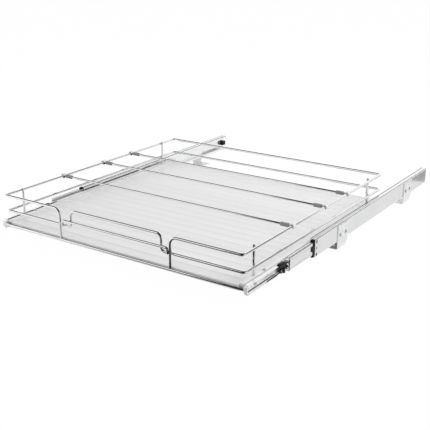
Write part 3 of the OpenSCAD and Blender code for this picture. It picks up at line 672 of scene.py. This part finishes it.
def clipNeck(node):
    # the short tongue between sleeve and ring
    axis = clipFrame(node)[2]
    stations = [axis + (x, 0, z) for x, z in zip(clip["tongueXMm"], clip["tongueZMm"])]
    return loft(stations, (0, 1, 0), (0, 0, 1), clip["tongueHalf"], clip["tongueThick"],
                clip["tongueRoundMm"])


def clipHook(node):
    # the black hooked foot: a narrow band about the top rail, from its inner side to below it
    axis = clipFrame(node)[2] + (0, clip["hookYMm"], 0)
    return arcBand(axis, clip["hookR"], clip["hookDegrees"], clip["hookSteps"], clip["hookHalves"],
                   clip["hookRoundMm"])


for divider in ("front", "middle", "rear"):
    for side, sign in sides.items():
        node = f"{divider}_divider_{side}_clip"
        body = bodyOf[node]
        makePiece(node + "_sleeve", onSide([clipSleeve(node), clipNeck(node)], sign), "clip_grey", body,
                  (node,))
        # the ring's pale colour is a painted highlight on the sleeve's grey polyamide
        makePiece(node + "_ring", onSide([clipRing(node)], sign), "clip_pale", body)
        makePiece(node + "_hook", onSide([clipHook(node)], sign), "black_plastic", body)
print("clips made")


# heights from the middle of the slide, and lengths from the catch block's rear end
catch = {
    "head": {"yMm": (-21.5, -19, -15, -2.2, 0), "lowMm": (5.5, 2.2, 1.2, 1.2, 2.2),
             "topMm": (7.2, 8.4, 8.8, 8.6, 8.2), "roundMm": 1.4},
    "leg": {"yMm": (-5.8, -4.8, -1, -0.2), "lowMm": -9.8, "topMm": 2, "roundMm": 0.8},
    "foot": {"yMm": (-4.4, -3, -1.4, -0.2), "lowMm": -11, "topMm": -8, "roundMm": 0.8},
    "footInMm": 2,
    "hub": {"yMm": (-19.5, -16.5, -13, -7.8), "lowMm": (-3.2, -6.4, -8.8, -8.8), "topMm": -1.0,
            "roundMm": 0.8},
    "tail": {"yMm": (-58, -26, -8), "lowMm": -6.9, "topMm": (-6.2, -5.6, -5.2), "roundMm": 0.4},
    "tailInMm": (1.6, 0.6),
    "hornMm": ((-2.5, 8), (3.5, 5.5), (5.4, -5)), "hornHalf": 0.6, "hornSteps": 14,  # start, pull, end
    "stripMm": ((11.5, 6.6), (8.2, 6.8), (7.7, 3.3), (10.6, -1.6), (8.6, -4.4), (10.9, -10.1)),
    "stripHalf": 0.55, "stripRoundMm": 1.2, "stripFromXMm": 270.2,  # its inner edge along X
    "bandRoundMm": 0.4, "bandEdgeMm": 0.3,  # horn and strip
}


def slab(form, x, rear, middle):
    # a block along Y whose floor and roof follow two lists of heights
    y = np.array(form["yMm"]) + rear
    low, top = (np.broadcast_to(form[k], len(y)) for k in ("lowMm", "topMm"))
    centres = np.stack([np.full(len(y), sum(x) / 2), y, middle + (low + top) / 2], 1)
    return loft(centres, (1, 0, 0), (0, 0, 1), (x[1] - x[0]) / 2, (top - low) / 2, form["roundMm"])


def band(line, half, x, rear, middle):
    # a flat band across X whose side view follows a line
    travel = np.gradient(line, axis=0)
    travel /= np.linalg.norm(travel, axis=1)[:, None]
    stations = np.stack([np.full(len(line), sum(x) / 2), rear + line[:, 0], middle + line[:, 1]], 1)
    across = np.stack([0 * travel[:, 0], -travel[:, 1], travel[:, 0]], 1)
    return loft(stations, (1, 0, 0), across, (x[1] - x[0]) / 2, half, catch["bandRoundMm"],
                catch["bandEdgeMm"])


def catchParts():
    # the catch block's head, leg, foot and horn, which is a parabola drawn towards its pull; the spring
    # strip, straight runs with rounded turns; the lever's hub and tail
    low, high = (c / mm for c in corners("right_catch_block"))
    rear, middle, x = high[1], (low[2] + high[2]) / 2, (low[0], high[0])
    share = np.linspace(0, 1, catch["hornSteps"])[:, None]
    a, b, c = np.array(catch["hornMm"])
    curve = a * (1 - share) ** 2 + 2 * b * share * (1 - share) + c * share ** 2
    block = [slab(catch["head"], x, rear, middle), slab(catch["leg"], x, rear, middle),
             slab(catch["foot"], (x[0] + catch["footInMm"], x[1]), rear, middle),
             band(curve, catch["hornHalf"], x, rear, middle)]
    radii = [catch["stripRoundMm"]] * len(catch["stripMm"])
    bent = roundedPath([(0, *p) for p in catch["stripMm"]], radii, arcSteps=6)[0][:, 1:]
    strip = band(bent, catch["stripHalf"], (catch["stripFromXMm"], x[1]), rear, middle)
    low, high = (c / mm for c in corners("right_release_lever"))
    inner, outer = catch["tailInMm"]
    lever = [slab(catch["hub"], (low[0], high[0]), rear, middle),
             slab(catch["tail"], (low[0] + inner, high[0] - outer), rear, middle)]
    return block, [strip], lever


for side, sign in sides.items():
    block, strip, lever = (onSide(parts, sign) for parts in catchParts())
    makePiece(f"{side}_catch_head", block, "black_plastic", "basket", (f"{side}_catch_block",))
    makePiece(f"{side}_catch_strip", strip, "spring_chrome", "basket", (f"{side}_catch_spring",))
    makePiece(f"{side}_lever_bar", lever, "black_plastic", f"{side}_lever", (f"{side}_release_lever",))
print("catches made")


# millimetres of rounding on the edges of the CAD's own shapes
edgeWidths = {
    "basket_rail": 0.25, "cabinet_rail": 0.25, "middle_rail": 0.25,
    "front_foot": 0.35, "rear_foot": 0.35, "rear_bumper": 0.8, "front_retainer": 0.3,
    "outer_ball_cage": 0.15, "inner_ball_cage": 0.15,
}
smallWidths = {"foot_rivets": 0.25, "rim_screws": 0.4, "tray_rivets": 0.25, "lever_pins": 0.2}
for side in sides:
    for part, width in edgeWidths.items():
        dressed(f"{side}_{part}", width, "zinc_satin" if part == "basket_rail" else None)
for node, width in smallWidths.items():
    dressed(node, width)
print("dressed copies made")


scene = bpy.context.scene
studio = {
    "azimuth": 33.972, "elevation": 19.368, "roll": 0.146, "place": (0.8645, -1.3494, 0.5548),
    "lensMm": 66.902, "sensorMm": 36, "nearest": 0.05,
    "ambient": 0.56, "floorGlow": 0.985, "paper": 0.9, "floorSize": 14, "floorDropMm": 0.2,
}
lamps = {
    "key": {"place": (-1.2, -1.4, 2.4), "size": 1.8, "power": 18},
    "fill": {"place": (1.8, 0.9, 2.0), "size": 1.8, "power": 52},
}
# upright and lying cards for the bright metal to reflect, near black or grey: over the part, beside and
# behind the eye, on the table before the right corner, high behind, on the floor under the basket's
# right side, past the right rear corner and right of the part, and behind on the right. Each is clear
# before its fade along X, and whole where it has none
flags = {
    "overhead": {"x": (-3.9, 3.9), "y": (-1.9, 1.3), "z": (2.0, 2.0), "grey": 0.02},
    "beside_eye": {"x": (-0.5, 3.0), "y": (-1.75, -1.75), "z": (0.0, 2.0), "grey": 0.03},
    "on_table": {"x": (-0.4, 1.2), "y": (-1.6, -0.39), "z": (0.001, 0.001), "grey": 0.02,
                 "fade": (-0.3, 0.1)},
    "behind_high": {"x": (1.0, 2.4), "y": (1.9, 1.9), "z": (0.9, 1.9), "grey": 0.05},
    "floor_under": {"x": (0.12, 0.26), "y": (-0.36, 0.4), "z": (0.0012, 0.0012), "grey": 0.1},
    "floor_end": {"x": (0.3, 0.42), "y": (0.43, 0.75), "z": (0.0016, 0.0016), "grey": 0.28},
    "floor_right": {"x": (0.29, 1.6), "y": (-0.4, 1.5), "z": (0.0012, 0.0012), "grey": 0.8},
    "behind_right": {"x": (1.35, 2.6), "y": (1.6, 1.6), "z": (0.0, 0.7), "grey": 0.06,
                     "fade": (1.3, 1.45)},
}
wholeCard = (-9, -8)  # a fade that ends outside every card


def setCamera():
    # the eye of the photograph, in the frame of the part
    az, el, roll = (math.radians(studio[k]) for k in ("azimuth", "elevation", "roll"))
    ahead = np.array([-math.sin(az) * math.cos(el), math.cos(az) * math.cos(el), -math.sin(el)])
    right = unit(np.cross(ahead, [0, 0, 1]))
    up = np.cross(right, ahead)
    rolledRight = right * math.cos(roll) + up * math.sin(roll)
    rolledUp = up * math.cos(roll) - right * math.sin(roll)
    lens = bpy.data.cameras.new("camera")
    lens.lens, lens.sensor_width = studio["lensMm"], studio["sensorMm"]
    lens.clip_start = studio["nearest"]
    camera = bpy.data.objects.new("camera", lens)
    scene.collection.objects.link(camera)
    camera.matrix_world = placed(rolledRight, rolledUp, -ahead, studio["place"])
    scene.camera = camera


def placed(right, up, back, place):
    # the matrix of an object whose own axes point right, up and back
    turn = np.eye(4)
    turn[:3, 0], turn[:3, 1], turn[:3, 2], turn[:3, 3] = right, up, back, place
    return Matrix(turn)


def seenDirectly(tree):
    # 1 for what the eye sees straight, in a mirror or through glass
    ray = addNode(tree, "ShaderNodeLightPath").outputs
    both = addNode(tree, "ShaderNodeMath", links={0: ray["Is Camera Ray"], 1: ray["Is Glossy Ray"]},
                   operation="MAXIMUM")
    return addNode(tree, "ShaderNodeMath", links={0: both.outputs[0], 1: ray["Is Transmission Ray"]},
                   operation="MAXIMUM").outputs[0]


def setWorld():
    # a white surround at full strength where it is seen, and dimmer in the light that it gives
    world = bpy.data.worlds.new("pale_studio")
    scene.world = world
    world.use_nodes = True
    tree = world.node_tree
    tree.nodes.clear()
    strength = addNode(tree, "ShaderNodeMapRange", {"To Min": studio["ambient"], "To Max": 1.0},
                       {"Value": seenDirectly(tree)})
    light = addNode(tree, "ShaderNodeBackground", {"Color": (1, 1, 1, 1)},
                    {"Strength": strength.outputs[0]})
    addNode(tree, "ShaderNodeOutputWorld", links={"Surface": light.outputs[0]})


def setFloor():
    # a white floor just under the part: nearly all glow where it is seen, and plain paper in the light
    # that it sends back
    height = -studio["floorDropMm"] * mm
    bpy.ops.mesh.primitive_plane_add(size=studio["floorSize"], location=(0, 0, height))
    floor = bpy.context.object
    floor.name = "floor"
    material, tree = bareMaterial("white_paper_sweep")
    paper = addNode(tree, "ShaderNodeBsdfDiffuse", {"Color": (*[studio["paper"]] * 3, 1)})
    glow = addNode(tree, "ShaderNodeEmission", {"Color": (1, 1, 1, 1), "Strength": 1.0})
    share = addNode(tree, "ShaderNodeMath", {1: studio["floorGlow"]}, {0: seenDirectly(tree)},
                    operation="MULTIPLY")
    both = addNode(tree, "ShaderNodeMixShader", links={
        0: share.outputs[0], 1: paper.outputs[0], 2: glow.outputs[0]})
    addNode(tree, "ShaderNodeOutputMaterial", links={"Surface": both.outputs[0]})
    floor.data.materials.append(material)


def setFlag(name, card):
    # a card between opposite corners of its box, upright where both its Y are the same. It is seen in
    # mirrors only, and it passes from clear to its grey along X over its fade
    (x0, x1), (y0, y1), (z0, z1) = card["x"], card["y"], card["z"]
    points = [(x0, y0, z0), (x1, y0, z0), (x1, y1, z1), (x0, y1, z1)]
    if y0 == y1:
        points = [(x0, y0, z0), (x1, y0, z0), (x1, y0, z1), (x0, y0, z1)]
    mesh = bpy.data.meshes.new(name)
    mesh.from_pydata(points, [], [(0, 1, 2, 3)])
    material, tree = bareMaterial("card_" + name)
    place = addNode(tree, "ShaderNodeTexCoord").outputs["Object"]
    split = addNode(tree, "ShaderNodeSeparateXYZ", links={0: place})
    fadeFrom, fadeTo = card.get("fade", wholeCard)
    share = addNode(tree, "ShaderNodeMapRange", {"From Min": fadeFrom, "From Max": fadeTo},
                    {"Value": split.outputs["X"]}, interpolation_type="SMOOTHSTEP")
    clear = addNode(tree, "ShaderNodeBsdfTransparent")
    grey = addNode(tree, "ShaderNodeEmission", {"Color": (1, 1, 1, 1), "Strength": card["grey"]})
    both = addNode(tree, "ShaderNodeMixShader", links={
        0: share.outputs[0], 1: clear.outputs[0], 2: grey.outputs[0]})
    addNode(tree, "ShaderNodeOutputMaterial", links={"Surface": both.outputs[0]})
    mesh.materials.append(material)
    flag = bpy.data.objects.new("flag_" + name, mesh)
    scene.collection.objects.link(flag)
    flag.visible_camera = flag.visible_diffuse = flag.visible_shadow = flag.visible_transmission = False


def addLamp(name, place, size, power):
    # a round lamp that faces the middle of the part and isn't seen in mirrors
    data = bpy.data.lights.new(name, "AREA")
    data.shape, data.size, data.energy = "DISK", size, power
    lamp = bpy.data.objects.new(name, data)
    scene.collection.objects.link(lamp)
    lamp.visible_glossy = False
    back = unit(np.array(place))
    right = unit(np.cross([0, 0, 1], back))
    lamp.matrix_world = placed(right, np.cross(back, right), back, place)


setCamera()
setWorld()
setFloor()
for name, card in flags.items():
    setFlag(name, card)
for name, lamp in lamps.items():
    addLamp(name, **lamp)
scene.view_settings.view_transform = "Standard"
print("studio set")
